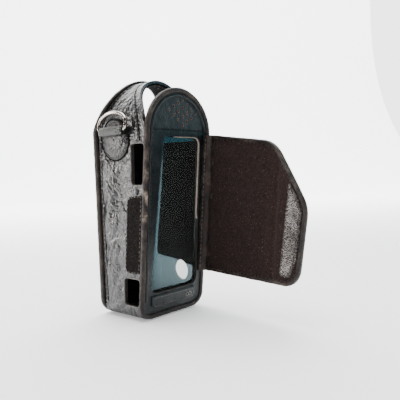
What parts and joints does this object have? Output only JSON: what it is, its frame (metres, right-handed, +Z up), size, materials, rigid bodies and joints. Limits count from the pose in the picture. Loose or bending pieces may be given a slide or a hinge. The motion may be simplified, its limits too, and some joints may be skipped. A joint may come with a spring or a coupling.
{
  "type": "hand-held device leather case",
  "caption": "Standing leather case for a tall hand-held device: clear front window, arched tongue and band, side windows, D-ring and a felt-lined wrap-round cover flap.",
  "frame": {"origin": "middle of the base, on the surface that the case stands on", "axes": "+Z up along the case's height; -Y the clear front window; +Y the flat back; -X the side with the D-ring and the side windows; the cover flap hinges on the front edge at +X"},
  "size_m": [0.0725, 0.1519, 0.1765],
  "materials": {
    "panel_leather": "black smooth leather, semi-gloss",
    "gusset_leather": "soft shiny black leather, wrinkled",
    "front_leather": "smooth blue-black leather, satin",
    "rim_leather": "rolled and bound edge leather, scuffed",
    "strap_leather": "folded strap leather, glossy with grey-green sheen",
    "felt": "dark brown-black felt lining",
    "tape": "black hook and loop tape",
    "board": "fibre board stiffener",
    "vinyl": "clear flexible vinyl, glossy",
    "chrome_wire": "chromed steel wire, worn"
  },
  "bodies": {
    "case": {"back_panel": "panel_leather", "back_stiffener": "board", "back_lining": "felt", "back_rim": "rim_leather", "left_gusset": "gusset_leather", "left_lining": "felt", "right_gusset": "gusset_leather", "right_lining": "felt", "top_band": "gusset_leather", "band_lining": "felt", "base_plate": "gusset_leather", "left_corner": "gusset_leather", "right_corner": "gusset_leather", "base_pad": "felt", "front_frame": "front_leather", "window_vinyl": "vinyl", "window_backing": "felt", "front_rim": "rim_leather", "lower_strip": "front_leather", "flap_root_strip": "front_leather", "loop_patch": "tape", "ring_patch": "gusset_leather", "ring_loop": "strap_leather"},
    "tongue": {"tongue_panel": "front_leather", "tongue_lining": "felt", "tongue_rim": "rim_leather"},
    "flap": {"flap_felt": "felt", "flap_leather": "panel_leather", "flap_binding_top": "rim_leather", "flap_binding_bottom": "rim_leather"},
    "flap_tail": {"tail_felt": "felt", "tail_leather": "panel_leather", "tail_binding": "rim_leather", "hook_strip": "tape"},
    "ring": {"d_ring": "chrome_wire"}
  },
  "joints": [
    {"name": "tongue_fold", "type": "hinge", "parent": "case", "child": "tongue", "pos_m": [0, -0.03531, 0.13595], "axis": [1, 0, 0], "range_deg": [-6, 50]},
    {"name": "flap_fold", "type": "hinge", "parent": "case", "child": "flap", "pos_m": [0.0326, -0.03302, 0.07928], "axis": [0, -0.1055, 0.9944], "range_deg": [-81.4, 125]},
    {"name": "tail_fold", "type": "hinge", "parent": "flap", "child": "flap_tail", "pos_m": [0.02213, -0.10185, 0.07198], "axis": [0, -0.1055, 0.9944], "range_deg": [-90, 20]},
    {"name": "ring_swing", "type": "hinge", "parent": "case", "child": "ring", "pos_m": [-0.0353, -0.003, 0.1375], "axis": [0, -1, 0], "range_deg": [0, 187]}
  ]
}
